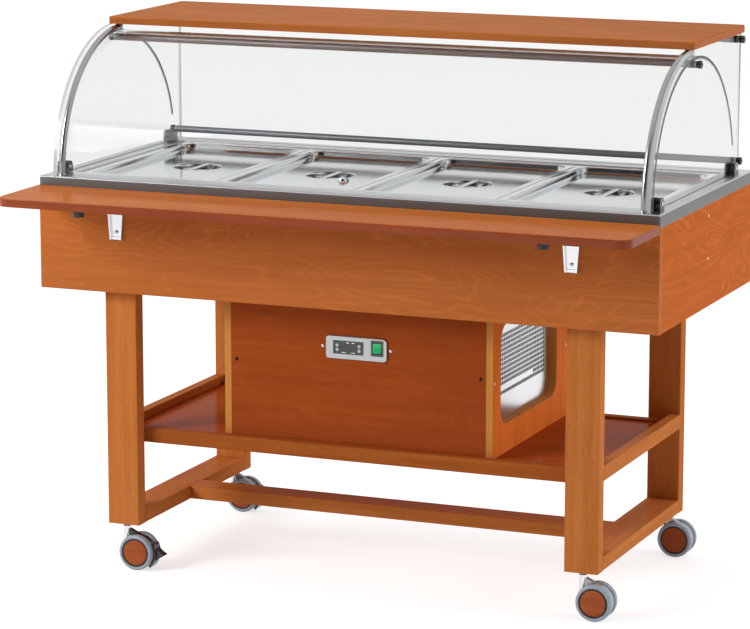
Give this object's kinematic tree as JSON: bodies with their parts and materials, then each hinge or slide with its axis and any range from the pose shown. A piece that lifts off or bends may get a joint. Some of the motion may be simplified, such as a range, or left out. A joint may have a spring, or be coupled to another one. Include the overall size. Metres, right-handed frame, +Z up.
{
  "type": "refrigerated buffet trolley",
  "caption": "Wooden buffet trolley with a chilled well for lidded food pans, roll-back clear hood, shelves, compressor box and twin-wheel castors.",
  "frame": {"origin": "on the floor, under the centre of the whole trolley's bounding box with the tray shelf up; the cabinet's centre line is 101.5 mm behind it", "axes": "+X along the trolley's length to the right as seen from the customer side, +Y to the operator side, +Z up"},
  "size_m": [1.42, 0.877, 1.2],
  "materials": {
    "wood_fascia": "stained and satin-lacquered veneered board",
    "wood_stand": "stained and satin-lacquered solid wood",
    "wood_shelf": "stained and satin-lacquered veneered board",
    "wood_top": "stained and gloss-lacquered veneered board",
    "plywood": "raw plywood",
    "steel_worktop": "satin stainless sheet",
    "steel_pan": "fine satin stainless sheet",
    "steel_tube": "polished stainless tube",
    "chrome": "bright chrome plate",
    "steel_grille": "punched stainless sheet",
    "clear_plastic": "clear cast acrylic",
    "black_plastic": "gloss black moulding",
    "black_rubber": "moulded rubber",
    "grey_plate": "satin grey enamel",
    "button_grey": "soft grey moulding",
    "switch_green": "translucent green moulding",
    "black_metal": "black enamel",
    "fin_aluminium": "pressed fins",
    "foam": "rigid foam",
    "fan_plastic": "moulded",
    "castor_grey": "silver-grey satin",
    "tyre_grey": "grey polyurethane"
  },
  "bodies": {
    "cabinet": {"legs": "wood_stand", "bottom_rails": "wood_stand", "stretcher": "wood_stand", "shelf_panel": "wood_shelf", "shelf_rails": "wood_stand", "front_fascia": "wood_fascia", "rear_fascia": "wood_fascia", "end_fascias": "wood_fascia", "carcass": "plywood", "worktop": "steel_worktop", "pan_crossbars": "steel_worktop", "well_tank": "steel_worktop", "evaporator": "fin_aluminium", "well_insulation": "foam", "end_panels": "clear_plastic", "tie_rods": "steel_tube", "rod_end_caps": "black_plastic", "support_tubes": "steel_tube", "rear_panel": "clear_plastic", "clamp_knobs": "black_plastic", "overshelf": "wood_top", "bracket_plates": "chrome", "unit_front_panel": "wood_fascia", "unit_side_panels": "wood_fascia", "unit_grilles": "steel_grille", "compressor": "black_metal", "condenser": "fin_aluminium", "power_inlet": "black_plastic", "control_plate": "grey_plate", "switch_bezels": "black_plastic", "castor_stems": "chrome"},
    "tray": {"tray_shelf": "wood_top", "bracket_arms": "chrome", "buffers": "black_rubber"},
    "hood": {"hood": "clear_plastic", "hood_knob": "chrome"},
    "fan_rotor": {"fan": "fan_plastic"},
    "rocker": {"rocker_switch": "switch_green"},
    "pan_1": {"pan_1": "steel_pan"},
    "lid_1": {"lid_1": "steel_pan"},
    "button_1": {"button_1": "button_grey"},
    "pan_2": {"pan_2": "steel_pan"},
    "lid_2": {"lid_2": "steel_pan"},
    "button_2": {"button_2": "button_grey"},
    "pan_3": {"pan_3": "steel_pan"},
    "lid_3": {"lid_3": "steel_pan"},
    "button_3": {"button_3": "button_grey"},
    "pan_4": {"pan_4": "steel_pan"},
    "lid_4": {"lid_4": "steel_pan"},
    "button_4": {"button_4": "button_grey"},
    "castor_front_left": {"castor_housing_front_left": "castor_grey"},
    "wheels_front_left": {"castor_wheels_front_left": "tyre_grey"},
    "castor_front_right": {"castor_housing_front_right": "castor_grey"},
    "wheels_front_right": {"castor_wheels_front_right": "tyre_grey"},
    "castor_rear_left": {"castor_housing_rear_left": "castor_grey"},
    "wheels_rear_left": {"castor_wheels_rear_left": "tyre_grey"},
    "castor_rear_right": {"castor_housing_rear_right": "castor_grey"},
    "wheels_rear_right": {"castor_wheels_rear_right": "tyre_grey"},
    "pedal_front_left": {"brake_pedal_front_left": "black_plastic"},
    "pedal_rear_left": {"brake_pedal_rear_left": "black_plastic"}
  },
  "joints": [
    {"name": "tray_fold", "type": "hinge", "parent": "cabinet", "child": "tray", "pos_m": [0, -0.245, 0.835], "axis": [1, 0, 0], "range_deg": [0, 90]},
    {"name": "hood_roll", "type": "hinge", "parent": "cabinet", "child": "hood", "pos_m": [0, 0.0865, 0.88], "axis": [-1, 0, 0], "range_deg": [0, 60]},
    {"name": "fan_spin", "type": "hinge", "parent": "cabinet", "child": "fan_rotor", "pos_m": [0.165, 0.0915, 0.47], "axis": [1, 0, 0], "continuous": true},
    {"name": "rocker_tilt", "type": "hinge", "parent": "cabinet", "child": "rocker", "pos_m": [0.0495, -0.1405, 0.534], "axis": [1, 0, 0], "range_deg": [0, 16]},
    {"name": "pan_1_lift", "type": "slide", "parent": "cabinet", "child": "pan_1", "axis": [0, 0, 1], "range_m": [0, 0.025]},
    {"name": "lid_1_lift", "type": "slide", "parent": "pan_1", "child": "lid_1", "axis": [0, 0, 1], "range_m": [0, 0.035]},
    {"name": "button_1_press", "type": "slide", "parent": "cabinet", "child": "button_1", "axis": [0, 1, 0], "range_m": [0, 0.0008], "stiffness_N_per_m": 400},
    {"name": "pan_2_lift", "type": "slide", "parent": "cabinet", "child": "pan_2", "axis": [0, 0, 1], "range_m": [0, 0.025]},
    {"name": "lid_2_lift", "type": "slide", "parent": "pan_2", "child": "lid_2", "axis": [0, 0, 1], "range_m": [0, 0.035]},
    {"name": "button_2_press", "type": "slide", "parent": "cabinet", "child": "button_2", "axis": [0, 1, 0], "range_m": [0, 0.0008], "stiffness_N_per_m": 400},
    {"name": "pan_3_lift", "type": "slide", "parent": "cabinet", "child": "pan_3", "axis": [0, 0, 1], "range_m": [0, 0.025]},
    {"name": "lid_3_lift", "type": "slide", "parent": "pan_3", "child": "lid_3", "axis": [0, 0, 1], "range_m": [0, 0.035]},
    {"name": "button_3_press", "type": "slide", "parent": "cabinet", "child": "button_3", "axis": [0, 1, 0], "range_m": [0, 0.0008], "stiffness_N_per_m": 400},
    {"name": "pan_4_lift", "type": "slide", "parent": "cabinet", "child": "pan_4", "axis": [0, 0, 1], "range_m": [0, 0.025]},
    {"name": "lid_4_lift", "type": "slide", "parent": "pan_4", "child": "lid_4", "axis": [0, 0, 1], "range_m": [0, 0.035]},
    {"name": "button_4_press", "type": "slide", "parent": "cabinet", "child": "button_4", "axis": [0, 1, 0], "range_m": [0, 0.0008], "stiffness_N_per_m": 400},
    {"name": "castor_front_left_swivel", "type": "hinge", "parent": "cabinet", "child": "castor_front_left", "pos_m": [-0.5355, -0.18, 0.08], "axis": [0, 0, 1], "continuous": true},
    {"name": "wheels_front_left_spin", "type": "hinge", "parent": "castor_front_left", "child": "wheels_front_left", "pos_m": [-0.5055, -0.18, 0.04], "axis": [0, 1, 0], "continuous": true},
    {"name": "pedal_front_left_press", "type": "hinge", "parent": "castor_front_left", "child": "pedal_front_left", "pos_m": [-0.5055, -0.18, 0.04], "axis": [0, 1, 0], "range_deg": [0, 12]},
    {"name": "castor_front_right_swivel", "type": "hinge", "parent": "cabinet", "child": "castor_front_right", "pos_m": [0.5355, -0.18, 0.08], "axis": [0, 0, 1], "continuous": true},
    {"name": "wheels_front_right_spin", "type": "hinge", "parent": "castor_front_right", "child": "wheels_front_right", "pos_m": [0.5655, -0.18, 0.04], "axis": [0, 1, 0], "continuous": true},
    {"name": "castor_rear_left_swivel", "type": "hinge", "parent": "cabinet", "child": "castor_rear_left", "pos_m": [-0.5355, 0.383, 0.08], "axis": [0, 0, 1], "continuous": true},
    {"name": "wheels_rear_left_spin", "type": "hinge", "parent": "castor_rear_left", "child": "wheels_rear_left", "pos_m": [-0.5055, 0.383, 0.04], "axis": [0, 1, 0], "continuous": true},
    {"name": "pedal_rear_left_press", "type": "hinge", "parent": "castor_rear_left", "child": "pedal_rear_left", "pos_m": [-0.5055, 0.383, 0.04], "axis": [0, 1, 0], "range_deg": [0, 12]},
    {"name": "castor_rear_right_swivel", "type": "hinge", "parent": "cabinet", "child": "castor_rear_right", "pos_m": [0.5355, 0.383, 0.08], "axis": [0, 0, 1], "continuous": true},
    {"name": "wheels_rear_right_spin", "type": "hinge", "parent": "castor_rear_right", "child": "wheels_rear_right", "pos_m": [0.5655, 0.383, 0.04], "axis": [0, 1, 0], "continuous": true}
  ]
}
